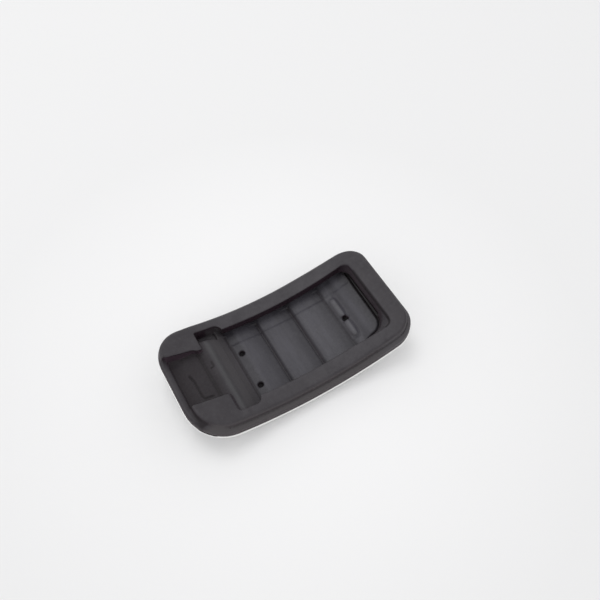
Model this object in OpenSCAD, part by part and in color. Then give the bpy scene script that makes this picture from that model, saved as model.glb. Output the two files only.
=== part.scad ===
// Slip-on pedal pad: a moulded rubber boot with a thin metal face plate.
// The pad lies on its tread. The cavity that slips over the pedal faces up.
// Depths are measured down from the lip top, square to the arch.
// The nose is at +X, the tail with the tongue pocket at -X, the far side at +Y.

/* [Pad outline] */
// Length over the rubber edge
pad_l = 126.4; // [120:0.2:140]
// Width over the rubber edge
pad_w = 66; // [63:0.2:76]
// Plan radius of the two nose corners
nose_r = 12; // [10:0.5:16]
// Plan radius of the two tail corners
tail_r = 19.5; // [16:0.5:21]
// How far the far side draws in at the nose corner
nose_taper = 2.2; // [0:0.1:3]

/* [Arch] */
// Radius of the arch, measured at the lip top
arch_r = 146; // [130:1:200]

/* [Rubber section] */
// Depth of the rubber from the lip top to the face plate
rubber_t = 9; // [8.6:0.1:11]
// Depth of the edge bead's top
bead_depth = 3.5; // [3:0.1:3.8]
// Radius of the edge bead's upper edge
bead_r = 1.5; // [1:0.1:1.6]
// Radius of the edge bead's lower edge
edge_r = 0.6; // [0.3:0.1:0.9]
// Width of the bead outside the lip block along the two long sides
bead_side = 2.3; // [2.1:0.1:2.8]
// Width of the bead outside the lip block at the nose
bead_nose = 1.9; // [1.8:0.1:2.6]
// Width of the bead outside the near flange at the tail
bead_tail = 4.1; // [3:0.1:4.3]
// Width of the bead outside the far flange at the tail
bead_tail_far = 1.7; // [1.6:0.1:4]
// Plan radius of the lip block's nose corners
lip_nose_r = 10.5; // [8:0.5:14]
// Plan radius of the lip block's corner at the near flange
lip_tail_r = 15; // [12:0.5:17]
// Plan radius of the lip block's corner at the far flange
lip_far_r = 15.5; // [12:0.5:15.8]
// Radius of the rounded shoulder above the crease
shoulder_r = 1.8; // [1.2:0.1:2.6]
// Depth of the crease below the bead's top
crease_h = 0.6; // [0.2:0.1:0.8]

/* [Lip and groove] */
// Clear width between the two side lips
mouth_w = 43.8; // [38:0.2:45]
// Distance from the pad's middle to the nose lip
mouth_nose = 52.2; // [48:0.2:53]
// Plan radius of the mouth's nose corners at the lip top
mouth_r = 3.2; // [2.5:0.1:6]
// How far the near side lip draws back at the nose corner
mouth_flare = 1.5; // [0:0.1:1.8]
// How far the nose lip's face leans in at its foot
nose_lean = 1.3; // [0.5:0.1:2]
// Plan radius of the nose wall's corners at its foot
nose_foot_r = 7; // [5:0.5:8]
// Thickness of the overhanging lip
lip_t = 5.2; // [4:0.1:5.6]
// Depth of the groove under the side lips, measured into the wall
groove_reach = 2.9; // [1.5:0.1:4]
// Depth of the slot under the nose lip, measured into the wall
nose_reach = 1.2; // [0.5:0.1:2.5]

/* [Channel and tongue pocket] */
// Distance from the pad's middle to the channel's tail wall, far side
channel_tail_far = 40.1; // [39:0.1:42]
// Distance from the pad's middle to the channel's tail wall, near side
channel_tail_near = 38.6; // [37.6:0.1:42]
// Distance from the pad's middle to the channel's nose end
channel_nose = 25.8; // [25:0.1:28]
// How far the channel is cut into each side lip
channel_reach = 3.5; // [3:0.1:4.5]
// Plan radius where the channel runs out into the side lips
channel_r = 3.6; // [1.5:0.1:4]
// Clear width of the tongue pocket
pocket_w = 28.8; // [22:0.2:32]
// Distance from the pad's middle to the pocket's tail wall
pocket_tail = 59.3; // [57:0.1:59.6]
// Depth of the pocket floor at its tail wall
pocket_depth = 6.8; // [5.6:0.1:7]
// Distance from the pad's middle to the small step in the pocket
pocket_step = 51.4; // [50:0.1:54]
// Depth of the pocket floor at the foot of the small step
pocket_mid_depth = 5.8; // [5:0.1:6]
// Height of the small step in the pocket
pocket_step_h = 0.5; // [0.2:0.1:1]
// Distance from the pad's middle to the fold in the ramp
ramp_fold = 42.6; // [42:0.1:46]
// Depth of the ramp at its fold
ramp_fold_depth = 3.6; // [2.8:0.1:4]
// Distance from the pad's middle to the crest of the ridge
crest_x = 36.4; // [35:0.1:37]
// Depth of the crest
crest_depth = 1.5; // [0.8:0.1:2]
// Radius of the crest
crest_r = 1.8; // [1:0.1:2]
// Width of the gap between the ridge's far end and the channel's far wall
ridge_gap = 5; // [3:0.1:6]

/* [Cavity floor] */
// Distance from the pad's middle to the valley at the tail end of the floor
floor_tail = 24.8; // [24:0.1:25.2]
// Length of the first floor bay
bay_1 = 18.8; // [18:0.1:20]
// Length of the second floor bay
bay_2 = 19.9; // [18:0.1:20]
// Length of the third floor bay
bay_3 = 19.4; // [18:0.1:20]
// Depth of the floor in its valleys
valley_depth = 8.1; // [7.5:0.1:8.2]
// Height of the floor above its valleys
bay_h = 1.1; // [0.4:0.1:1.3]
// Width of the raised part of the floor on the far side of the middle
bay_far_w = 14.2; // [12:0.1:18]
// Drop of the floor beside its raised part
bay_drop = 0.3; // [0.1:0.05:0.5]
// Width of each rib in the nose bay
rib_w = 3.4; // [1.8:0.1:3.6]
// Distance of the ribs behind the last floor valley
rib_offset = 1.4; // [1:0.1:2]
// Depth of the ribs' tops
rib_depth = 6.5; // [6:0.1:7]
// Length of the far rib
rib_far_l = 12.6; // [9:0.1:13]
// Length of the near rib
rib_near_l = 9.2; // [7:0.1:10]

/* [Locating holes] */
// Diameter of the three blind holes
hole_d = 2.9; // [2.4:0.1:3.2]
// Distance between the two tail holes
hole_pair_w = 21.1; // [19:0.1:23]
// Distance from the two tail holes to the nose hole
hole_run = 58.1; // [57.6:0.1:58.6]
// Distance of the tail holes behind the first floor valley
hole_offset = 3.6; // [3:0.1:5]
// Sideways shift of the hole pattern from the middle, towards the near side
hole_shift = 2.7; // [2:0.1:3.4]
// Least thickness of rubber left under a hole's flat floor
hole_skin = 0.3; // [0.1:0.05:0.4]

/* [Face plate and tread] */
// Thickness of the face plate
plate_t = 1.2; // [0.8:0.1:1.5]
// How far the plate's edge stands out past the rubber
plate_proud = 0.2; // [0:0.05:0.5]
// Number of tread bars
bar_n = 6; // [4:2:6]
// Distance between tread bars
bar_pitch = 19.6; // [16:0.1:20.6]
// Width of a tread bar
bar_w = 6; // [4:0.5:8]
// Length of the middle tread bars
bar_l = 47; // [38:1:50]
// Height of the tread bars above the plate
bar_h = 1.8; // [1.2:0.1:2.4]
// Gap between a tread bar and its slot
slot_gap = 0.05; // [0.02:0.01:0.15]
// Flat on the two middle bars, measured at the pad's middle
foot_cut = 0.3; // [0.2:0.05:0.5]

/* [Hidden] */

round_fn = 96;
arch_fn = 720;
over = 1;
pad_t = rubber_t + plate_t + bar_h;
axis_z = pad_t - foot_cut + arch_r;
half_l = pad_l / 2;
half_w = pad_w / 2;
top_z = axis_z - sqrt(pow(arch_r, 2) - pow(half_l, 2)) + over;
bottom_z = -over;

// Lip block, inside the bead
block_x0 = bead_tail - half_l;
block_x0_far = bead_tail_far - half_l;
block_x1 = half_l - bead_nose;
block_hw = half_w - bead_side;

// Cavity
mouth_hw = mouth_w / 2;
groove_hw = mouth_hw + groove_reach;
channel_hw = mouth_hw + channel_reach;
pocket_hw = pocket_w / 2;
foot_x = mouth_nose - nose_lean;
foot_depth = 7.3;
valley_2 = bay_1 - floor_tail;
valley_3 = valley_2 + bay_2;
valley_4 = valley_3 + bay_3;
rib_x = valley_4 + rib_offset;
hole_x = hole_offset - floor_tail;

// Height of a point at a given depth under the lip top
function arch_z(x, depth) = axis_z - sqrt(pow(arch_r + depth, 2) - x * x);

// Outline with round corners, as a ring of points
taper_x = 22;
tail_step = 0.6;
corner_n = 10;
side_n = 24;
end_n = 6;
function corner_pts(cx, cy, r, a0) =
    [for (i = [0 : corner_n]) let (a = a0 + 90 * i / corner_n) [cx + r * cos(a), cy + r * sin(a)]];
function between(p, q, n) = [for (i = [1 : n - 1]) p + (q - p) * i / n];
// tail = [far side's end, near side's end], r = radii [nose, tail far, tail near]
function outline(tail, x1, hw, r) =
    let (a = corner_pts(x1 - r[0], hw - r[0], r[0], 0),
         b = corner_pts(tail[0] + r[1], hw - r[1], r[1], 90),
         c = corner_pts(tail[1] + r[2], r[2] - hw, r[2], 180),
         d = corner_pts(x1 - r[0], r[0] - hw, r[0], 270), e = [tail[1], hw - r[1] - tail_step])
    [for (p = concat(a, between(a[corner_n], b[0], side_n), b, [e], between(e, c[0], end_n),
                     c, between(c[corner_n], d[0], side_n), d, between(d[corner_n], a[0], end_n)))
        [p[0], drawn_in(p)]];
function drawn_in(p) =
    p[1] - nose_taper * pow(max(0, p[0] - taper_x) / (half_l - taper_x), 2) * max(0, p[1]) / half_w;
function bead_outline(inset) =
    outline([inset - half_l, inset - half_l], half_l - inset, half_w - inset,
            [nose_r - inset, tail_r - inset, tail_r - inset]);
function block_outline(inset) =
    outline([block_x0_far + inset, block_x0 + inset], block_x1 - inset, block_hw - inset,
            [lip_nose_r - inset, lip_far_r - inset, lip_tail_r - inset]);

// Rings of the skin, from the lower edge over the bead and crease to the lip top
arc_step = 18;
function ring(pts, depth) = [for (p = pts) [p[0], p[1], arch_z(p[0], depth)]];
function level(pts, z) = [for (p = pts) [p[0], p[1], z]];
function round_in(a, r) = r * (1 - cos(a));
function round_up(a, r) = r * (1 - sin(a));
skin_rings = concat(
    [level(bead_outline(edge_r), bottom_z)],
    [for (a = [90 - arc_step : -2 * arc_step : 0])
        ring(bead_outline(round_in(a, edge_r)), rubber_t - round_up(a, edge_r))],
    [for (a = [0 : arc_step : 90])
        ring(bead_outline(round_in(a, bead_r)), bead_depth + round_up(a, bead_r))],
    [ring(block_outline(0), bead_depth + crease_h)],
    [for (a = [0 : arc_step : 90 - arc_step])
        ring(block_outline(round_in(a, shoulder_r)), round_up(a, shoulder_r))],
    [level(block_outline(shoulder_r), top_z)]);

// Solid lofted through rings of points, closed by a fan at each end
module loft(rings, x) {
    n = len(rings[0]);
    m = len(rings);
    walls = [for (j = [0 : m - 2], i = [0 : n - 1], k = [0, 1])
        k == 0 ? [j * n + i, (j + 1) * n + (i + 1) % n, j * n + (i + 1) % n]
               : [j * n + i, (j + 1) * n + i, (j + 1) * n + (i + 1) % n]];
    ends = [[x, 0, rings[0][0][2]], [x, 0, rings[m - 1][0][2]]];
    polyhedron(points = concat([for (r = rings, p = r) p], ends),
               faces = concat([for (i = [0 : n - 1]) [i, (i + 1) % n, m * n]], walls,
                              [for (i = [0 : n - 1])
                                  [(m - 1) * n + (i + 1) % n, (m - 1) * n + i, m * n + 1]]));
}

// Everything between two depths under the lip top
module arch_layer(depth0, depth1) {
    intersection() {
        translate([-pad_l, -pad_w, 0]) cube([2 * pad_l, 2 * pad_w, top_z]);
        translate([0, 0, axis_z]) rotate([90, 0, 0]) difference() {
            cylinder(r = arch_r + depth1, h = 2 * pad_w, center = true, $fn = arch_fn);
            cylinder(r = arch_r + depth0, h = 3 * pad_w, center = true, $fn = arch_fn);
        }
    }
}

module prism(z0, z1) {
    translate([0, 0, z0]) linear_extrude(z1 - z0) children();
}

// Rectangle with round corners, given by its limits
module round_rect(x0, x1, y0, y1, r) {
    translate([x0 + r, y0]) square([x1 - x0 - 2 * r, y1 - y0]);
    translate([x0, y0 + r]) square([x1 - x0, y1 - y0 - 2 * r]);
    for (x = [x0 + r, x1 - r], y = [y0 + r, y1 - r]) translate([x, y]) circle(r = r, $fn = round_fn);
}

// Side view of the floor as one line of [distance, depth] points.
// Each bay rises steeply out of its valley, then falls gently to the next one.
rise_long = 6.5;
rise_short = 1.6;
fall = 1;
mid_share = 0.9;
end_share = 0.45;
function bay_line(x, l, rise) =
    [[x, valley_depth], [x + rise, valley_depth - bay_h],
     [x + l / 2, valley_depth - bay_h * mid_share], [x + l - fall, valley_depth - bay_h * end_share]];
crest_from = -30;
crest_to = 20;
crest_step = 10;
crest_line = [for (a = [crest_from : crest_step : crest_to])
    [crest_r * sin(a) - crest_x, crest_depth + crest_r * (1 - cos(a))]];
pocket_run = 2;
pocket_rise = 0.1;
ridge_foot_run = 1.5;
ridge_foot_rise = 0.4;
rib_foot_rise = 0.4;
rib_gap = 1.2;
rib_gap_rise = 0.2;
nose_crest = 46;
nose_crest_depth = 7.1;
nose_run = 3;
nose_dip = 0.25;
nose_end_dip = 0.3;
rib_valley = valley_4 + rib_offset + rib_w + rib_gap;
floor_line = concat(
    [[-pocket_tail, pocket_depth], [pocket_run - pocket_tail, pocket_depth - pocket_rise],
     [-pocket_step, pocket_mid_depth],
     [-pocket_step, pocket_mid_depth - pocket_step_h], [-ramp_fold, ramp_fold_depth]],
    crest_line,
    [[-floor_tail - ridge_foot_run, valley_depth - ridge_foot_rise]],
    bay_line(-floor_tail, bay_1, rise_long),
    bay_line(valley_2, bay_2, rise_short),
    bay_line(valley_3, bay_3, rise_short),
    [[valley_4, valley_depth], [rib_x, valley_depth - rib_foot_rise],
     [rib_valley, valley_depth - rib_gap_rise],
     [nose_crest - nose_run, nose_crest_depth + nose_dip], [nose_crest, nose_crest_depth],
     [foot_x, nose_crest_depth + nose_end_dip], [half_l, nose_crest_depth + nose_end_dip]]);

// All the space above the floor line
module above_floor() {
    rotate([90, 0, 0]) linear_extrude(2 * pad_w, center = true)
        polygon(concat([for (p = floor_line) [p[0], arch_z(p[0], p[1])]],
                       [[half_l, top_z + over], [-pocket_tail, top_z + over]]));
}

// Mouth between the side lips. Its nose wall leans in, and its corners widen towards the foot.
mouth_tail = -channel_nose - 3 * channel_r / 2;
flare_x = 28;
flare_n = 5;
function mouth_ring(x1, r, flare) =
    concat(corner_pts(x1 - r, mouth_hw - r, r, 0), [[mouth_tail, mouth_hw], [mouth_tail, -mouth_hw]],
           [for (i = [0 : flare_n - 1]) let (t = i / flare_n)
               [flare_x + (x1 - r - flare_x) * t, -mouth_hw - flare * (1 - cos(180 * t)) / 2]],
           corner_pts(x1 - r, r - mouth_hw - flare, r, 270));
module mouth() {
    top = mouth_ring(mouth_nose, mouth_r, mouth_flare);
    foot = mouth_ring(foot_x, nose_foot_r, 0);
    loft([level(foot, 0), ring(foot, foot_depth), ring(top, -over), level(top, top_z + over)], flare_x);
}

// Notch over the channel and tongue pocket, in one plan
module notch() {
    prism(0, top_z + over) {
        translate([-channel_tail_far, 0]) square([channel_tail_far - channel_nose - channel_r, channel_hw]);
        translate([-channel_tail_near, -channel_hw])
            square([channel_tail_near - channel_nose - channel_r, channel_hw]);
        round_rect(-channel_nose - 3 * channel_r, -channel_nose, -channel_hw, channel_hw, channel_r);
        translate([-pocket_tail - over, -pocket_hw])
            square([pocket_tail - channel_tail_near + 2 * over, pocket_w]);
    }
}

// Groove under the side lips and the slot under the nose lip
module groove() {
    intersection() {
        arch_layer(lip_t, rubber_t);
        prism(0, top_z) round_rect(-channel_nose - 2 * channel_r, foot_x + nose_reach, -groove_hw, groove_hw,
                                   nose_foot_r);
    }
}

// Space that the pedal plate and its tongue slip into
module cavity() {
    intersection() {
        above_floor();
        union() {
            mouth();
            notch();
            groove();
        }
    }
    intersection() {
        translate([0, 0, -bay_drop]) above_floor();
        arch_layer(lip_t + over, rubber_t);
        prism(0, top_z) translate([-floor_tail, bay_far_w])
            square([foot_x + floor_tail - over, mouth_hw + groove_reach / 2 - bay_far_w]);
    }
}

// Deep gap between the ridge's far end and the channel's far wall
ridge_clear = 0.2;
module ridge_end() {
    intersection() {
        arch_layer(-over, valley_depth - bay_h / 2);
        prism(0, top_z + over) translate([ridge_clear - channel_tail_far, channel_hw - ridge_gap])
            square([channel_tail_far - channel_nose - channel_r, ridge_gap - ridge_clear]);
    }
}

// The tail bead stays level with the rest of the bead behind the pocket
module rim_cut() {
    intersection() {
        arch_layer(-2 * bead_depth, bead_depth);
        prism(0, top_z + over) translate([-half_l - over, -pocket_hw])
            square([half_l - ramp_fold, pocket_w]);
    }
}

// Two low ribs in the nose bay, with a round stop at the near end
stop_rise = 0.3;
module ribs() {
    near_y = -hole_shift - hole_d / 2 - rib_near_l;
    for (r = [[hole_d / 2 - hole_shift, rib_far_l], [near_y, rib_near_l]])
        intersection() {
            prism(0, top_z) translate([rib_x, r[0]]) square([rib_w, r[1]]);
            arch_layer(rib_depth, rubber_t - over / 2);
        }
    intersection() {
        prism(0, top_z) translate([rib_x + rib_w / 2, near_y]) circle(d = rib_w, $fn = round_fn);
        arch_layer(rib_depth - stop_rise, rubber_t - over / 2);
    }
}

// Blind holes with a flat floor, just above the back of the face plate
module locating_holes() {
    for (p = [[hole_x, hole_pair_w / 2], [hole_x, -hole_pair_w / 2], [hole_x + hole_run, 0]])
        translate([p[0], p[1] - hole_shift, arch_z(abs(p[0]) + hole_d / 2, rubber_t) + hole_skin])
            cylinder(d = hole_d, h = top_z, $fn = round_fn);
}

// Plan of tread bar i, or of its slot when grown by a gap
module bar_plan(i, grow) {
    w = bar_w + 2 * grow;
    l = bar_l + 2 * grow - (i == 0 || i == bar_n - 1 ? bar_w : 0);
    translate([(i - (bar_n - 1) / 2) * bar_pitch, 0]) {
        square([w, l - w], center = true);
        for (s = [-1, 1]) translate([0, s * (l - w) / 2]) circle(d = w, $fn = round_fn);
    }
}

module rubber_boot() {
    color([0.10, 0.10, 0.11]) difference() {
        union() {
            difference() {
                intersection() {
                    loft(skin_rings, 0);
                    arch_layer(0, rubber_t);
                }
                cavity();
                ridge_end();
                rim_cut();
            }
            ribs();
            intersection() {
                arch_layer(rubber_t - over / 2, pad_t);
                prism(0, top_z) for (i = [0 : bar_n - 1]) bar_plan(i, 0);
            }
        }
        locating_holes();
    }
}

module face_plate() {
    color([0.78, 0.79, 0.80]) difference() {
        intersection() {
            arch_layer(rubber_t, rubber_t + plate_t);
            prism(0, top_z) polygon(bead_outline(-plate_proud));
        }
        prism(0, top_z) for (i = [0 : bar_n - 1]) bar_plan(i, slot_gap);
    }
}

rubber_boot();
face_plate();
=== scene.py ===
"""Slip-on pedal pad: its finish, light and camera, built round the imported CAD."""

import math
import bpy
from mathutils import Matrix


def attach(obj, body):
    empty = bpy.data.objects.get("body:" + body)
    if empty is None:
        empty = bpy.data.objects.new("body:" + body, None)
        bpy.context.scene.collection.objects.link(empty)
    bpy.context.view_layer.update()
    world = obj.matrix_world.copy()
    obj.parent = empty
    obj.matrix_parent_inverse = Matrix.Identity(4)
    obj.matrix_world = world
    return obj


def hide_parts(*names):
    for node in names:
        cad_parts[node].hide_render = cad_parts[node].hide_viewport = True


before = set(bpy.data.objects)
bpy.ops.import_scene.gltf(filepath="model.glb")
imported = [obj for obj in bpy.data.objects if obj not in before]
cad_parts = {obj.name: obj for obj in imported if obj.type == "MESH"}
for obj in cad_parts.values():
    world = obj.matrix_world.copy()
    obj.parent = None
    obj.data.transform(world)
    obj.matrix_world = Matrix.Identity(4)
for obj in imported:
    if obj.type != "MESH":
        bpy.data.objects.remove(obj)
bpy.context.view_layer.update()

from types import SimpleNamespace

import bmesh
import bpy
import numpy as np
from mathutils import Vector

MM = 0.001

# --- sizes taken from the part's own arch and plan, in millimetres ---
ARCH_R = 146.0  # radius of the arch at the lip top
LIP_TOP = 11.7  # height of the lip top at the pad's middle
AXIS_Z = LIP_TOP + ARCH_R  # height of the arch's axis
PLATE_BACK = 9.0  # depth of the face plate's back under the lip top
VALLEYS = (-24.8, -6.0, 13.9, 33.3)  # the floor's valleys
FLOOR_END = 50.5  # where the floor meets the nose wall
FLOOR_DEPTH = 6.0  # the floor lies deeper than this
FLOOR_EDGE = 7.3  # depth of the floor along the nose wall
FLOOR_SINKS = 1.1  # how much deeper it lies there than at its crowns
MOUTH_HALF = 21.9  # half of the clear width between the side lips
CREST = -36.4  # the crest of the ridge at the pocket's mouth
CREST_Y = (-25.0, 19.0)  # the stretch of it that carries a painted highlight
WALL_DEPTHS = (0.9, 6.0)  # an inner wall shows between these depths
NOSE_WALL_Y = (-16.0, 19.0)
FLANGE_X = (-60.0, -39.6)  # the pocket's far wall
FLANGE_Y = (12.0, 17.5)
RIBS_X = (34.0, 37.6)  # the two ribs lie end to end across the last bay
FAR_RIB_Y = (-0.4, 14.2)
NEAR_RIB_Y = (-15.2, -5.0)
HOLES = ((-21.2, 7.85), (-21.2, -13.25), (36.9, -2.7))  # plan places of the blind holes
HOLE_R = 1.45
HOLE_FLOOR = 7.9  # a hole's floor lies deeper than this
HOLE_DROP = 0.8  # how far a hole's floor is let down past the plate's back
RIM_FROM = (59.0, 24.5)  # the face plate's outer rim lies beyond these, its slots within
RIM_ROUND = 0.5  # how far that rim is rounded
BONDED = (60.5, 30.0)  # the plate's bonded back lies within these

# --- small relief of the moulding, in millimetres ---
VOXEL = 0.4  # size of the even mesh that softens the moulded edges
SOFTEN = 5  # smoothing passes over that mesh
EXTRA_SOFTEN = 60  # passes where the moulding is rounder than the solid
VALLEY_GROOVE = 0.42  # depth of the groove in a valley
LAST_GROOVE = 0.15  # depth of the groove in the last valley, by the ribs
GROOVE_WIDTH = 0.5
BAY_SCOOP = 0.3  # how far each bay sinks before its valley
CREVICE = 1.5  # depth of the crevice at the foot of the nose wall
CREVICE_WIDTH = 0.8
FLANGE_LEAN = 1.3  # how far the pocket's far wall leans out towards the tail
POCKET_MARKS = (  # plan points, half width and depth of the step's edge, a fold and a tick
    (((-52.2, 4.5), (-51.3, 1.0), (-51.2, -9.0), (-50.4, -10.6), (-46.0, -11.0)), 0.45, 0.64),
    (((-43.2, 14.0), (-42.7, -14.0)), 0.8, 0.48),
    (((-38.9, 7.0), (-38.8, 4.0), (-40.4, 3.6)), 0.4, 0.48),
)
NEAR_EDGE = ((-22.0, -21.7), (36.0, -21.7))  # the near lip's inner edge
NEAR_EDGE_WIDTH = 0.6
NOSE_LINE = ((52.2, 15.0), (52.2, -18.0), (51.7, -21.3), (50.8, -22.5), (48.7, -22.9))  # with its hook
NOSE_LINE_WIDTH = 0.45
NOSE_LINE_DEPTH = 0.35
NOSE_LINE_SHADE = 0.95  # how dark a mark's painted shade is: 1 is the full painted dark line
NEAR_EDGE_SHADE = 0.45
POCKET_MARK_SHADE = 0.7
RIDGE_END = ((-36.0, -26.0), (-35.2, -28.0))  # the ridge's swelling in the near lip
RIDGE_END_WIDTH = 1.3
RIDGE_END_RISE = 0.35
FACET_AT = (43.6, -12.4)  # centre of the round foot of the nose's near corner
FACET_R = 7.4  # radius of that foot
FACET_TOP = 0.7  # depth of the facet's upper edge
FACET_BASE = 8.0  # the facet's wedge reaches down into the floor
FACET_WALL = (8.4, 10.2)  # from that centre to the nose wall and to the near wall
FACET_FAR = 12.0  # from that centre to the mouth's round corner
FACET_BACK = 2.5  # how far the wedge reaches back into the wall
FOOT_START = (FLOOR_END + 1.0, 20.5)  # the nose wall's foot at the far side
FACET_RUNOUT = (35.0, -22.2)  # where the facet dies out along the near wall
RUNOUT_STEP = 0.3  # the facet's width in plan at that end

# --- colours of the rubber, in linear light ---
FILM = ((0.0270, 0.0235, 0.0290), (0.0430, 0.0385, 0.0450))  # dry grey film, thin and thick
# painted shade: the walls darker than the film on the tops
PAINTED_SHADE_WALL = ((0.0150, 0.0060, 0.0115), (0.0205, 0.0090, 0.0155))
# painted shade towards the tail and nose ends and along the near lip
PAINTED_SHADE_FILM = (0.0220, 0.0180, 0.0215)
# painted light: the outer skin paler, as lit by the pale floor
PAINTED_LIGHT_OUTER_SKIN = (0.0560, 0.0500, 0.0530)
# painted light on the nose wall and on the facet in its near corner
NOSE_WALL_PAINTED_LIGHT = (0.0400, 0.0310, 0.0370)
FACET_PAINTED_LIGHT = (0.0580, 0.0530, 0.0590)
# painted light and shade of the floor: dark valleys, paler crowns, highlighted rib tops and a dark foot at
# the nose wall
VALLEY_PAINTED_SHADE = (0.021, 0.019, 0.025)
CROWN_PAINTED_LIGHT = (0.0530, 0.0505, 0.0620)
RIB_PAINTED_HIGHLIGHT = (0.078, 0.076, 0.086)
FOOT_PAINTED_SHADE = (0.008, 0.006, 0.007)
# painted shade in the pocket, painted light on the ridge slope and the pocket's far wall, a painted
# highlight on the crest
POCKET_PAINTED_SHADE = (0.0090, 0.0050, 0.0078)
RIDGE_SLOPE_PAINTED_LIGHT = (0.0540, 0.0500, 0.0540)
FLANGE_WALL_PAINTED_LIGHT = (0.0420, 0.0260, 0.0370)
CREST_PAINTED_HIGHLIGHT = (0.062, 0.062, 0.065)
# painted shade in the creases and painted highlights on the convex edges
CREASE_PAINTED_SHADE = (0.007, 0.004, 0.006)
EDGE_PAINTED_HIGHLIGHT = (0.066, 0.064, 0.067)
BLOOM = (0.058, 0.057, 0.062)
DUST = (0.14, 0.14, 0.14)
# painted shade of the dark lines along seams and folds, in the crevice and in the holes
PAINTED_SHADE_LINE = (0.006, 0.004, 0.005)

# --- the rubber's gloss and grain; a grain's height is in metres ---
RUBBER_ROUGH = (0.5, 0.62)
SMOOTHER_FLOOR = -0.06  # added to the roughness on the floor between the lips
ROUGHER_POCKET = 0.12  # added to it in the tongue pocket
RUBBER_SPECULAR = 0.42
COARSE_GRAIN = 0.00014
FINE_GRAIN = 0.00004

# --- the steel's finish, and that of the paper under the pad ---
STEEL_ROUGH = (0.28, 0.42)
SMEAR_ROUGH = 0.06  # added to the roughness by a smear
PRIMER_ROUGH = 0.3  # added to it by the primer
STEEL_SPECULAR = 0.1
BRUSH_GRAIN = 0.00001
PAPER_ROUGH = 0.75
PAPER_SPECULAR = 0.2
PAPER_GRAIN = 0.00002
STEEL = ((0.90, 0.90, 0.89), (0.97, 0.97, 0.955))
# dark priming coat of the bonded back, which also stands as painted shade in the holes
PRIMER_AND_HOLE_SHADE = (0.008, 0.007, 0.008)
PAPER = ((0.90, 0.90, 0.905), (0.915, 0.915, 0.92))
# painted dimming of the paper away from the pad, round a painted pool of light
PAINTED_DIM_FAR_PAPER = (0.84, 0.84, 0.845)

# --- light, paper size and camera, in metres ---
WORLD_STRENGTH = 0.85
LIGHT_PLACE = (-0.05, 0.5, 1.28)
LIGHT_SIZE = 0.7
LIGHT_POWER = 4.0
FLOOR_SIZE = 6.0
CAMERA_AIM = Vector((24.35, 24.88, -0.3)) * MM
CAMERA_FAR = 372.75 * MM
CAMERA_AZIMUTH = math.radians(-30.09)
CAMERA_HEIGHT = math.radians(57.36)
CAMERA_LENS = 39.0
CAMERA_SENSOR = 36.0


# --- nodes: short helpers ---
def new_material(name):
    mat = bpy.data.materials.new(name)
    mat.use_nodes = True
    mat.node_tree.nodes.clear()
    return mat, Graph(mat.node_tree)


class Graph:
    """Adds nodes to one tree and links them by socket name."""

    def __init__(self, tree):
        self.tree = tree

    def node(self, kind, inputs=None, **settings):
        made = self.tree.nodes.new(kind)
        for key, value in settings.items():
            setattr(made, key, value)
        for key, value in (inputs or {}).items():
            self.feed(made.inputs[key], value)
        return made

    def feed(self, socket, value):
        """Links a socket to another one, or sets its value."""
        if hasattr(value, "is_output"):
            self.tree.links.new(value, socket)
        else:
            socket.default_value = value

    def point(self):
        """The object's own coordinates, in millimetres."""
        coords = self.node("ShaderNodeTexCoord").outputs["Object"]
        return self.stretched(coords, (1 / MM,) * 3)

    def upward(self):
        """How far the surface faces up: 1 for a level top, 0 for a wall."""
        facing = self.node("ShaderNodeTexCoord").outputs["Normal"]
        return self.parts(facing)[2]

    def stretched(self, vector, factors):
        made = self.node("ShaderNodeVectorMath", {0: vector, 1: factors}, operation="MULTIPLY")
        return made.outputs["Vector"]

    def noise(self, vector, scale, detail=4.0, rough=0.5):
        made = self.node(
            "ShaderNodeTexNoise",
            {"Vector": vector, "Scale": scale, "Detail": detail, "Roughness": rough},
        )
        return made.outputs["Fac"]

    def spread(self, value, low, high, to_low=0.0, to_high=1.0):
        """Straight change from to_low at low to to_high at high, level beyond them."""
        made = self.node(
            "ShaderNodeMapRange",
            {"Value": value, "From Min": low, "From Max": high, "To Min": to_low, "To Max": to_high},
        )
        return made.outputs["Result"]

    def fall(self, value, low, high):
        """1 below low, 0 above high."""
        return self.spread(value, low, high, 1.0, 0.0)

    def band(self, value, low, high, soft):
        """1 between two limits, falling to 0 over a soft edge on both sides."""
        return self.overlap(
            self.spread(value, low - soft, low + soft),
            self.fall(value, high - soft, high + soft),
        )

    def math(self, how, a, b):
        return self.node("ShaderNodeMath", {0: a, 1: b}, operation=how).outputs["Value"]

    def overlap(self, *masks):
        """The masks multiplied together."""
        out = masks[0]
        for mask in masks[1:]:
            out = self.math("MULTIPLY", out, mask)
        return out

    def parts(self, vector):
        made = self.node("ShaderNodeSeparateXYZ", {"Vector": vector})
        return made.outputs["X"], made.outputs["Y"], made.outputs["Z"]

    def length(self, vector):
        return self.node("ShaderNodeVectorMath", {0: vector}, operation="LENGTH").outputs["Value"]

    def depth(self, vector):
        """How deep a point lies under the lip top, square to the arch."""
        flat = self.stretched(vector, (1, 0, 1))
        moved = self.node("ShaderNodeVectorMath", {0: flat, 1: (0, 0, -AXIS_Z)}, operation="ADD")
        return self.math("SUBTRACT", self.length(moved.outputs["Vector"]), ARCH_R)

    def mix(self, factor, a, b):
        """Colour a where the factor is 0, colour b where it is 1."""
        made = self.node("ShaderNodeMix", data_type="RGBA")
        self.feed(made.inputs["Factor"], factor)
        for socket, value in ((made.inputs[6], a), (made.inputs[7], b)):
            self.feed(socket, rgb(value) if isinstance(value, tuple) else value)
        return made.outputs[2]

    def bump(self, height, distance, strength, below=None):
        inputs = {"Height": height, "Distance": distance, "Strength": strength}
        if below is not None:
            inputs["Normal"] = below
        return self.node("ShaderNodeBump", inputs).outputs["Normal"]

    def surface(self, **inputs):
        shader = self.node("ShaderNodeBsdfPrincipled", inputs)
        out = self.node("ShaderNodeOutputMaterial")
        self.tree.links.new(shader.outputs["BSDF"], out.inputs["Surface"])


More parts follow.
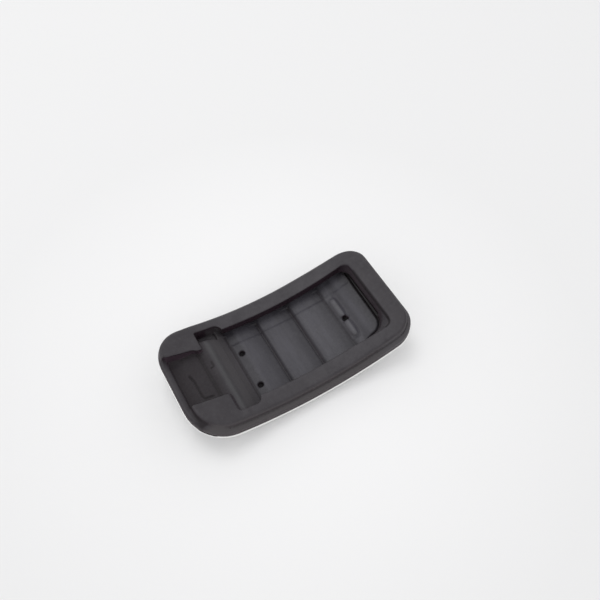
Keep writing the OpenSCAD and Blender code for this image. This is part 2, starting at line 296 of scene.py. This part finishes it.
def rgb(colour):
    return (*colour, 1.0)


# --- the rubber's finish ---
def boot_places(graph):
    """The sockets that say where on the boot a point lies."""
    point = graph.point()
    x, y, _ = graph.parts(point)
    side = graph.node("ShaderNodeMath", {0: y}, operation="ABSOLUTE").outputs["Value"]
    return SimpleNamespace(point=point, x=x, y=y, side=side, deep=graph.depth(point), up=graph.upward())


def skin_colour(graph, at):
    """Clean black walls painted darker as shade, a dry grey film on the lips with painted shade towards the
    ends and along the near lip, and the outer skin painted paler as light from the pale floor.
    """
    clouds = graph.spread(graph.noise(at.point, 0.09, 3.0, 0.55), 0.35, 0.68)
    tail_end = graph.spread(at.x, -30.0, -46.0, 0.0, 0.4)
    nose_end = graph.spread(at.x, 48.0, 55.0, 0.0, 0.35)
    near_lip = graph.overlap(
        graph.spread(at.y, -22.0, -25.0),
        graph.spread(at.x, 22.0, 8.0),
        graph.spread(at.x, -46.0, -30.0),
    )
    # painted shade towards the tail and nose ends and along the near lip
    shaded_ends = graph.math("ADD", graph.math("ADD", tail_end, nose_end), graph.math("MULTIPLY", near_lip, 0.3))
    film = graph.mix(shaded_ends, graph.mix(clouds, *FILM), PAINTED_SHADE_FILM)
    # painted shade: surfaces that face sideways take the darker wall colour
    colour = graph.mix(graph.spread(at.up, 0.05, 0.85), graph.mix(clouds, *PAINTED_SHADE_WALL), film)
    # painted light on the outer skin
    outside = graph.overlap(
        graph.spread(at.side, 25.5, 28.0),
        graph.spread(at.deep, 0.2, 1.4),
        graph.spread(at.up, -0.3, 0.5),
    )
    return graph.mix(outside, colour, PAINTED_LIGHT_OUTER_SKIN)


def nose_colour(graph, at, colour):
    """The nose wall and the facet in its near corner, painted paler than the side walls as the light that
    falls on them.
    """
    # painted light on the nose wall
    wall = graph.overlap(
        graph.spread(at.x, 47.0, 50.0),
        graph.band(at.deep, 1.2, 6.3, 0.2),
        graph.band(at.y, *NOSE_WALL_Y, 2.0),
    )
    colour = graph.mix(wall, colour, NOSE_WALL_PAINTED_LIGHT)
    from_centre = graph.node(
        "ShaderNodeVectorMath",
        {0: graph.stretched(at.point, (1, 1, 0)), 1: (*FACET_AT, 0)},
        operation="DISTANCE",
    ).outputs["Value"]
    facet = graph.overlap(
        graph.spread(at.x, FACET_AT[0] - 6, FACET_AT[0]),
        graph.fall(at.y, FACET_AT[1], FACET_AT[1] + 2),
        graph.spread(from_centre, FACET_R + 0.6, FACET_R + 1.4),
        graph.band(at.deep, *WALL_DEPTHS, 0.3),
    )
    return graph.mix(facet, colour, FACET_PAINTED_LIGHT)


def bay_share(graph, x):
    """0 at a valley's nose side, rising to 1 at the next valley, for each bay of the floor."""
    steps = [graph.spread(x, low, high) for low, high in zip(VALLEYS, VALLEYS[1:] + (FLOOR_END + 3.0,))]
    total = steps[0]
    for step in steps[1:]:
        total = graph.math("ADD", total, step)
    return graph.node("ShaderNodeMath", {0: total}, operation="FRACT").outputs["Value"]


def floor_mask(graph, at):
    return graph.overlap(
        graph.spread(at.deep, FLOOR_DEPTH - 0.3, FLOOR_DEPTH + 0.1),
        graph.band(at.x, VALLEYS[0] - 0.6, FLOOR_END + 1, 0.4),
        graph.spread(at.up, 0.6, 0.85),
        graph.fall(at.deep, PLATE_BACK - 0.3, PLATE_BACK - 0.1),
    )


def floor_colour(graph, at):
    """Crowns painted lighter as light, with streaky tone, and painted shade towards each valley, beside the
    ribs and at the nose wall, with a painted highlight on the two ribs.
    """
    share = bay_share(graph, at.x)
    streaks = graph.noise(graph.stretched(at.point, (0.25, 0.06, 0.25)), 1.0, 4.0, 0.6)
    beside_ribs = graph.band(at.x, 38.9, 42.5, 1.0)
    # painted light on the crowns, painted shade towards each valley, beside the ribs and at the nose wall
    painted_crown_light = graph.overlap(
        graph.spread(share, 0.02, 0.2),
        graph.fall(share, 0.45, 0.98),
        graph.spread(streaks, 0.25, 0.7, 0.55, 1.25),
        graph.spread(at.x, -20.5, -18.0, 0.15, 1.0),
        graph.spread(beside_ribs, 0.0, 1.0, 1.0, 0.45),
        graph.fall(at.x, 44.5, 48.8),
    )
    colour = graph.mix(painted_crown_light, VALLEY_PAINTED_SHADE, CROWN_PAINTED_LIGHT)
    along = graph.math("ADD", graph.band(at.y, *FAR_RIB_Y, 0.8), graph.band(at.y, *NEAR_RIB_Y, 0.8))
    ribs = graph.overlap(graph.band(at.x, *RIBS_X, 0.5), along, 0.8)
    colour = graph.mix(ribs, colour, RIB_PAINTED_HIGHLIGHT)
    return graph.mix(graph.spread(at.x, 49.0, 50.6), colour, FOOT_PAINTED_SHADE)


def pocket_mask(graph, at):
    return graph.overlap(
        graph.spread(at.deep, 0.9, 1.6),
        graph.band(at.x, -59.8, VALLEYS[0] + 0.5, 1.0),
        graph.fall(at.side, MOUTH_HALF + 3.2, MOUTH_HALF + 3.8),
    )


def pocket_colour(graph, at, in_pocket, colour):
    """The tongue pocket is painted dark as shade, most towards its tail wall and at the foot of the slope;
    its far wall and the ridge slope are painted paler as light, and the crest carries a painted highlight.
    """
    # painted shade over the pocket, most towards its tail wall, and at the foot of the slope
    tail_wall = graph.spread(at.x, -57.5, -53.0, 1.0, 0.72)
    before_crest = graph.fall(at.x, CREST - 4.5, CREST - 0.8)
    slope_foot = graph.spread(at.x, VALLEYS[0] - 1.4, VALLEYS[0] - 0.4, 0.0, 0.6)
    dark = graph.math("ADD", graph.math("MULTIPLY", tail_wall, before_crest), slope_foot)
    colour = graph.mix(graph.overlap(in_pocket, dark), colour, POCKET_PAINTED_SHADE)
    slope = graph.overlap(in_pocket, graph.band(at.x, CREST + 2.5, VALLEYS[0] - 1.4, 0.8), 0.8)
    colour = graph.mix(slope, colour, RIDGE_SLOPE_PAINTED_LIGHT)
    flange_wall = graph.overlap(
        graph.band(at.x, *FLANGE_X, 0.5),
        graph.band(at.y, *FLANGE_Y, 0.5),
        graph.spread(at.up, 0.75, 0.45),
        graph.band(at.deep, *WALL_DEPTHS, 0.3),
    )
    colour = graph.mix(flange_wall, colour, FLANGE_WALL_PAINTED_LIGHT)
    # painted highlight along the crest
    crest = graph.overlap(
        in_pocket,
        graph.band(at.x, CREST - 0.6, CREST + 1.6, 1.4),
        graph.band(at.y, *CREST_Y, 1.5),
        0.8,
    )
    return graph.mix(crest, colour, CREST_PAINTED_HIGHLIGHT)


def painted_shading_bloom_and_dust(graph, at, on_floor, in_pocket, colour):
    """Painted shade in the creases, painted highlights on the edges, dry bloom and pale specks of dust."""
    bend = graph.node("ShaderNodeNewGeometry").outputs["Pointiness"]
    by_ribs = graph.overlap(on_floor, graph.spread(at.x, 33.5, 34.2))
    # painted shade in the concave creases
    crease_shade = graph.overlap(
        graph.spread(bend, 0.455, 0.49, 0.85, 0.0),
        graph.spread(graph.noise(at.point, 0.4), 0.25, 0.5, 0.6, 1.0),
        graph.spread(by_ribs, 0.0, 1.0, 1.0, 0.25),
    )
    colour = graph.mix(crease_shade, colour, CREASE_PAINTED_SHADE)
    # painted highlight on the convex edges
    edge_highlight = graph.overlap(
        graph.spread(bend, 0.525, 0.58, 0.0, 0.5),
        graph.spread(graph.noise(at.point, 0.7), 0.35, 0.65),
    )
    colour = graph.mix(edge_highlight, colour, EDGE_PAINTED_HIGHLIGHT)
    bloom = graph.overlap(
        graph.spread(graph.noise(at.point, 0.55, 4.0, 0.62), 0.5, 0.78),
        graph.spread(at.up, 0.3, 0.9),
        graph.spread(in_pocket, 0.0, 1.0, 0.42, 0.12),
    )
    colour = graph.mix(bloom, colour, BLOOM)
    specks = graph.spread(graph.noise(at.point, 3.4, 2.0, 0.4), 0.735, 0.77)
    specks = graph.overlap(specks, graph.spread(at.up, 0.5, 0.9, 0.0, 0.3))
    return graph.mix(specks, colour, DUST)


def moulded_rubber():
    mat, graph = new_material("moulded_rubber")
    at = boot_places(graph)
    on_floor = floor_mask(graph, at)
    in_pocket = pocket_mask(graph, at)
    colour = nose_colour(graph, at, skin_colour(graph, at))
    colour = graph.mix(on_floor, colour, floor_colour(graph, at))
    colour = pocket_colour(graph, at, in_pocket, colour)
    colour = painted_shading_bloom_and_dust(graph, at, on_floor, in_pocket, colour)
    # painted shade along seams and folds, in the crevice and in the holes, carried by a mesh attribute
    lines = graph.node("ShaderNodeAttribute", attribute_name="painted_shade_lines").outputs["Fac"]
    colour = graph.mix(lines, colour, PAINTED_SHADE_LINE)

    rough = graph.spread(graph.noise(at.point, 1.1, 3.0, 0.5), 0.3, 0.7, *RUBBER_ROUGH)
    rough = graph.math("ADD", rough, graph.math("MULTIPLY", on_floor, SMOOTHER_FLOOR))
    rough = graph.math("ADD", rough, graph.math("MULTIPLY", in_pocket, ROUGHER_POCKET))
    coarse = graph.bump(graph.noise(at.point, 0.5, 2.0, 0.5), COARSE_GRAIN, 0.5)
    fine = graph.bump(graph.noise(at.point, 2.6, 3.0, 0.6), FINE_GRAIN, 0.5, coarse)
    graph.surface(
        **{
            "Base Color": colour,
            "Roughness": rough,
            "Normal": fine,
            "Specular IOR Level": RUBBER_SPECULAR,
        }
    )
    return mat


# --- the steel plate's finish ---
def brushed_steel():
    """Steel brushed lengthwise; its bonded back carries a dark priming coat, seen at the bottom of the
    holes, where it also stands as their painted shade.
    """
    mat, graph = new_material("brushed_steel")
    point = graph.point()
    x, y, _ = graph.parts(point)
    lines = graph.noise(graph.stretched(point, (0.06, 5.5, 5.5)), 1.0, 4.0, 0.6)
    smears = graph.noise(point, 0.12, 3.0, 0.5)
    primer_and_hole_shade = graph.overlap(
        graph.spread(graph.upward(), 0.6, 0.75),
        graph.band(x, -BONDED[0], BONDED[0], 0.3),
        graph.band(y, -BONDED[1], BONDED[1], 0.3),
    )
    rough = graph.spread(lines, 0.3, 0.7, *STEEL_ROUGH)
    rough = graph.math("ADD", rough, graph.spread(smears, 0.4, 0.7, 0.0, SMEAR_ROUGH))
    rough = graph.math("ADD", rough, graph.math("MULTIPLY", primer_and_hole_shade, PRIMER_ROUGH))
    graph.surface(
        **{
            "Base Color": graph.mix(primer_and_hole_shade, graph.mix(lines, *STEEL), PRIMER_AND_HOLE_SHADE),
            "Metallic": graph.fall(primer_and_hole_shade, 0.0, 1.0),
            "Roughness": rough,
            "Normal": graph.bump(lines, BRUSH_GRAIN, 0.35),
            "Specular IOR Level": STEEL_SPECULAR,
        }
    )
    return mat


# --- the floor's finish ---
def pale_floor():
    mat, graph = new_material("pale_floor")
    point = graph.point()
    tone = graph.spread(graph.noise(point, 0.004, 3.0, 0.5), 0.3, 0.7)
    # a painted pool of light: the paper is lighter within 60 mm of the pad's middle, dimming to the far
    # tone by 170 mm
    colour = graph.mix(graph.spread(graph.length(point), 60.0, 170.0), graph.mix(tone, *PAPER), PAINTED_DIM_FAR_PAPER)
    graph.surface(
        **{
            "Base Color": colour,
            "Roughness": PAPER_ROUGH,
            "Normal": graph.bump(graph.noise(point, 0.8, 2.0, 0.5), PAPER_GRAIN, 0.3),
            "Specular IOR Level": PAPER_SPECULAR,
        }
    )
    return mat


# --- shapes in numpy: points are rows of x, y, z in millimetres ---
def ramp(value, low, high):
    """0 below low, 1 above high, smooth between."""
    share = np.clip((value - low) / (high - low), 0, 1)
    return share * share * (3 - 2 * share)


def fall(value, low, high):
    """1 below low, 0 above high, smooth between."""
    return 1 - ramp(value, low, high)


def hump(value, middle, width):
    return np.exp(-(((value - middle) / width) ** 2))


def to_path(x, y, path):
    """Distance in plan from points to a line through the path's points."""
    best = np.full(len(x), 1e9)
    for (ax, ay), (bx, by) in zip(path, path[1:]):
        length = (bx - ax) ** 2 + (by - ay) ** 2
        share = np.clip(((x - ax) * (bx - ax) + (y - ay) * (by - ay)) / length, 0, 1)
        best = np.minimum(best, np.hypot(x - ax - share * (bx - ax), y - ay - share * (by - ay)))
    return best


def along_path(x, y, path, width):
    """1 on the path, fading to 0 beside it."""
    return hump(to_path(x, y, path), 0.0, width)


def depth_of(points):
    """Depth under the lip top, square to the arch."""
    return np.hypot(points[:, 0], AXIS_Z - points[:, 2]) - ARCH_R


def arch_normals(points):
    """Directions square to the arch, pointing down through the rubber."""
    outward = points - np.array((0, 0, AXIS_Z))
    outward[:, 1] = 0
    return outward / np.linalg.norm(outward, axis=1)[:, None]


def softened(points, edges, passes, weight):
    """Moves each point part of the way to the mean of its neighbours, several times."""
    count = np.bincount(edges.ravel(), minlength=len(points)).astype(float)
    for _ in range(passes):
        mean = np.empty_like(points)
        for axis in range(3):
            total = np.bincount(edges[:, 0], points[edges[:, 1], axis], len(points))
            total += np.bincount(edges[:, 1], points[edges[:, 0], axis], len(points))
            mean[:, axis] = total / count
        points = points + (mean - points) * weight[:, None] / 2
    return points


def above_plate(deep):
    """1 in the cavity, 0 where the rubber meets the face plate."""
    return fall(deep, PLATE_BACK - 0.7, PLATE_BACK - 0.4)


def pocket_floor(x, deep):
    """1 on the tongue pocket's floor, up to the ridge's crest."""
    return ramp(deep, 1.2, 2.0) * above_plate(deep) * fall(x, CREST - 1.5, CREST - 0.5)


def extra_softness(points):
    """Where the moulding is rounder than the solid."""
    x, y, _ = points.T
    side = np.abs(y)
    deep = depth_of(points)
    from_hole = np.hypot(x - HOLES[2][0], y - HOLES[2][1])
    rim = 0.5 * fall(x, -62.0, -60.5) * fall(deep, 5.5, 7.5)
    far_corner = fall(x, -48.0, -38.0) * ramp(y, 22.0, 27.0) * fall(deep, 4.5, 6.0)
    step = hump(x, -51.4, 2.2) * ramp(np.abs(y + 3.0), 6.5, 9.0) * fall(side, 13.4, 14.0)
    step *= ramp(deep, 2.5, 3.5)
    ribs = 0.8 * ramp(x, 32.6, 33.4) * fall(x, 39.2, 40.0) * fall(side, 15.5, 16.5) * ramp(deep, 5.4, 5.8)
    ribs *= ramp(from_hole, HOLE_R + 0.2, HOLE_R + 0.8)
    notch = 0.5 * hump(x, -38.6, 1.2) * fall(y, -15.0, -13.0) * ramp(y, -25.0, -24.0)
    flanges = fall(x, -54.0, -46.0) * ramp(side, 13.5, 15.5) * ramp(deep, 0.8, 2.0) * fall(deep, 5.5, 6.5)
    crest = 0.5 * hump(x, CREST, 2.2) * fall(side, 24.0, 25.5) * ramp(deep, 0.6, 1.0)
    most = np.max((rim, far_corner, step, ribs, notch, flanges, crest), axis=0)
    return np.clip(most, 0, 1) * fall(deep, PLATE_BACK - 0.6, PLATE_BACK - 0.2)


def round_corner(turn, reach):
    """Plan point at a reach from the facet's centre, turned from the nose towards the near side."""
    angle = math.radians(turn)
    return FACET_AT[0] + reach * math.cos(angle), FACET_AT[1] - reach * math.sin(angle)


def at_foot(x, y, deep):
    """1 in the crevice where the floor meets the nose wall and the facet, fading to 0 beside it."""
    foot = [FOOT_START]
    foot += [round_corner(turn, FACET_R) for turn in range(0, 91, 15)]
    foot.append(FACET_RUNOUT)
    low = ramp(deep - FLOOR_SINKS * ramp(x, 43.0, 47.0), 5.6, 6.0)
    low *= above_plate(deep) * ramp(x, 32.0, 38.0)
    from_centre = np.hypot(np.maximum(x - FACET_AT[0], 0), np.minimum(y - FACET_AT[1], 0))
    # between the foot and the wall above it all of the floor sinks, so that no ledge is left there
    behind = ramp(from_centre, FACET_R + 0.3, FACET_R + 0.6) * fall(np.abs(y), MOUTH_HALF - 0.5, MOUTH_HALF)
    behind *= ramp(x, 40.0, 43.0) * fall(x, 53.5, 54.5)
    return low * np.maximum(behind, along_path(x, y, foot, CREVICE_WIDTH))


def floor_relief(x, y, deep):
    """Crisp grooves in the valleys, and bays that sink before each of them."""
    extra = np.zeros(len(x))
    for valley in VALLEYS:
        groove = LAST_GROOVE if valley == VALLEYS[-1] else VALLEY_GROOVE
        extra += groove * hump(x, valley, GROOVE_WIDTH)
        extra += BAY_SCOOP * ramp(x, valley - 6.5, valley - 0.8) * fall(x, valley - 0.4, valley)
    return extra * ramp(deep, 5.6, 6.1) * above_plate(deep) * fall(np.abs(y), MOUTH_HALF - 0.8, MOUTH_HALF)


def relief(points):
    """Extra depth of the small marks of the mould."""
    x, y, _ = points.T
    deep = depth_of(points)
    extra = floor_relief(x, y, deep) + CREVICE * at_foot(x, y, deep)
    for path, width, drop in POCKET_MARKS:
        extra += drop * pocket_floor(x, deep) * along_path(x, y, path, width)
    lip = fall(deep, 1.0, 1.6) * ramp(deep, -0.2, 0.2)
    extra += NOSE_LINE_DEPTH * lip * along_path(x, y, NOSE_LINE, NOSE_LINE_WIDTH)
    extra -= RIDGE_END_RISE * along_path(x, y, RIDGE_END, RIDGE_END_WIDTH) * fall(deep, 0.4, 0.8)
    return extra


def flange_shift(points):
    """Sideways shift of the pocket's far wall, which leans out towards the tail."""
    x, y, _ = points.T
    deep = depth_of(points)
    along = fall(x, -46.0, -42.0) * ramp(x, -61.5, -59.5)
    return FLANGE_LEAN * along * ramp(y, 12.4, 14.0) * fall(y, 15.8, 18.5) * fall(deep, 5.0, 6.5)


def painted_line_shade(points):
    """How dark the painted shade of a fine line is at each point: along seams and folds, in the crevice and
    in the holes.
    """
    x, y, _ = points.T
    deep = depth_of(points)
    lip = fall(deep, 1.4, 2.0) * ramp(deep, -0.3, 0.1)
    lines = [NOSE_LINE_SHADE * lip * along_path(x, y, NOSE_LINE, NOSE_LINE_WIDTH)]
    lines.append(NEAR_EDGE_SHADE * lip * along_path(x, y, NEAR_EDGE, NEAR_EDGE_WIDTH))
    for path, width, _drop in POCKET_MARKS:
        lines.append(POCKET_MARK_SHADE * pocket_floor(x, deep) * along_path(x, y, path, width))
    lines.append(at_foot(x, y, deep))
    for hole_x, hole_y in HOLES:
        in_hole = fall(np.hypot(x - hole_x, y - hole_y), HOLE_R - 0.2, HOLE_R + 0.2)
        lines.append(in_hole * ramp(deep, 5.0, 5.5) * fall(deep, PLATE_BACK + 0.8, PLATE_BACK + 0.9))
    return np.clip(np.max(lines, axis=0), 0, 1)


def opened_holes(points):
    """Lets each hole's floor down past the face plate's dark primed back, which then shows in the hole,
    partly as painted shade.
    """
    drop = np.zeros(len(points))
    deep = depth_of(points)
    for x, y in HOLES:
        inside = (np.hypot(points[:, 0] - x, points[:, 1] - y) < HOLE_R + 0.1) & (deep < PLATE_BACK)
        inside &= deep > HOLE_FLOOR
        drop = np.where(inside, PLATE_BACK + HOLE_DROP - deep, drop)
    return points + arch_normals(points) * drop[:, None]


# --- the rubber boot: the CAD solid with soft, moulded edges ---
def on_arch(x, y, deep):
    return Vector((x, y, AXIS_Z - math.sqrt((ARCH_R + deep) ** 2 - x * x))) * MM


def facet_sections():
    """Plan points of the facet's foot, top edge and back, all round the corner."""
    tiny = 1e-6
    sections = []
    for turn in range(0, 91, 10):
        angle = math.radians(turn)
        to_nose = FACET_WALL[0] / max(math.cos(angle), tiny)
        to_near = FACET_WALL[1] / max(math.sin(angle), tiny)
        wall = min(to_nose, to_near, FACET_FAR)
        sections.append([round_corner(turn, reach) for reach in (FACET_R, wall, wall + FACET_BACK)])
    x, y = FACET_RUNOUT
    sections.append([(x, y), (x, y - RUNOUT_STEP), (x, y - RUNOUT_STEP - FACET_BACK)])
    return sections


def add_facet(mesh):
    """Adds the wedge that fills the near corner of the nose, from its foot up to the hook."""
    form = bmesh.new()
    form.from_mesh(mesh)
    rings = []
    for foot, top, back in facet_sections():
        corners = [(foot, FACET_BASE), (foot, FLOOR_EDGE), (top, FACET_TOP)]
        corners += [(back, FACET_TOP), (back, FACET_BASE)]
        rings.append([form.verts.new(on_arch(x, y, deep)) for (x, y), deep in corners])
    for one, two in zip(rings, rings[1:]):
        for corner in range(len(one)):
            after = (corner + 1) % len(one)
            form.faces.new((one[corner], one[after], two[after], two[corner]))
    form.faces.new(rings[0][::-1])
    form.faces.new(rings[-1])
    form.to_mesh(mesh)
    form.free()


def even_mesh(obj):
    """The object's mesh, rebuilt from even small faces."""
    even = obj.modifiers.new("even", "REMESH")
    even.mode = "VOXEL"
    even.voxel_size = VOXEL * MM
    mesh = bpy.data.meshes.new_from_object(obj.evaluated_get(bpy.context.evaluated_depsgraph_get()))
    obj.modifiers.clear()
    return mesh


def boot_skin():
    boot = bpy.data.objects.new("boot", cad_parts["rubber_boot"].data.copy())
    bpy.context.scene.collection.objects.link(boot)
    add_facet(boot.data)
    mesh = even_mesh(boot)
    boot.data = mesh
    points = np.empty(len(mesh.vertices) * 3)
    mesh.vertices.foreach_get("co", points)
    points = points.reshape(-1, 3) / MM
    edges = np.empty(len(mesh.edges) * 2, dtype=np.int64)
    mesh.edges.foreach_get("vertices", edges)
    edges = edges.reshape(-1, 2)
    points = opened_holes(points)
    points = softened(points, edges, SOFTEN, np.ones(len(points)))
    points = softened(points, edges, EXTRA_SOFTEN, extra_softness(points))
    # the painted shade of the fine lines, stored on the mesh
    lines = mesh.attributes.new("painted_shade_lines", "FLOAT", "POINT")
    lines.data.foreach_set("value", painted_line_shade(points).astype(np.float32))
    points = points + arch_normals(points) * relief(points)[:, None]
    points[:, 1] += flange_shift(points)
    mesh.vertices.foreach_set("co", (points * MM).ravel())
    mesh.shade_smooth()
    mesh.update()
    return boot


# --- the face plate, with its outer rim rolled round to catch the light ---
def on_rim(edge):
    """True for the outer rim's sharp edges, and not for those of the slots."""
    ends = [(abs(end.co.x), abs(end.co.y)) for end in edge.verts]
    outer = all(x > RIM_FROM[0] * MM or y > RIM_FROM[1] * MM for x, y in ends)
    return outer and edge.is_manifold and edge.calc_face_angle() > math.radians(50)


def plate_skin():
    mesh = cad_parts["face_plate"].data.copy()
    form = bmesh.new()
    form.from_mesh(mesh)
    bmesh.ops.remove_doubles(form, verts=form.verts[:], dist=0.001 * MM)
    rim = [edge for edge in form.edges if on_rim(edge)]
    bmesh.ops.bevel(form, geom=rim, offset=RIM_ROUND * MM, segments=4, profile=0.5, affect="EDGES")
    form.to_mesh(mesh)
    form.free()
    skin = bpy.data.objects.new("plate", mesh)
    bpy.context.scene.collection.objects.link(skin)
    return skin


def dress(obj, material):
    obj.data.materials.clear()
    obj.data.materials.append(material)


boot = boot_skin()
dress(boot, moulded_rubber())
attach(boot, "root")
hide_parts("rubber_boot")

plate = plate_skin()
dress(plate, brushed_steel())
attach(plate, "root")
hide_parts("face_plate")

# --- floor, light and camera ---
bpy.ops.mesh.primitive_plane_add(size=FLOOR_SIZE, location=(0, 0, 0))
floor = bpy.context.object
floor.name = "floor"
dress(floor, pale_floor())

scene = bpy.context.scene
world = bpy.data.worlds.new("studio")
scene.world = world
world.use_nodes = True
world.node_tree.nodes["Background"].inputs["Color"].default_value = rgb((1, 1, 1))
world.node_tree.nodes["Background"].inputs["Strength"].default_value = WORLD_STRENGTH


def add_light():
    lamp = bpy.data.lights.new("far_light", "AREA")
    lamp.shape = "SQUARE"
    lamp.size = LIGHT_SIZE
    lamp.energy = LIGHT_POWER
    light = bpy.data.objects.new("far_light", lamp)
    scene.collection.objects.link(light)
    light.location = LIGHT_PLACE
    light.rotation_euler = Vector(LIGHT_PLACE).to_track_quat("Z", "Y").to_euler()


def add_camera():
    towards = Vector(
        (
            math.sin(CAMERA_AZIMUTH) * math.cos(CAMERA_HEIGHT),
            -math.cos(CAMERA_AZIMUTH) * math.cos(CAMERA_HEIGHT),
            math.sin(CAMERA_HEIGHT),
        )
    )
    camera = bpy.data.objects.new("camera", bpy.data.cameras.new("camera"))
    camera.data.lens = CAMERA_LENS
    camera.data.sensor_width = CAMERA_SENSOR
    camera.location = CAMERA_AIM + towards * CAMERA_FAR
    camera.rotation_euler = towards.to_track_quat("Z", "Y").to_euler()
    scene.collection.objects.link(camera)
    scene.camera = camera


add_light()
add_camera()
scene.view_settings.view_transform = "Standard"
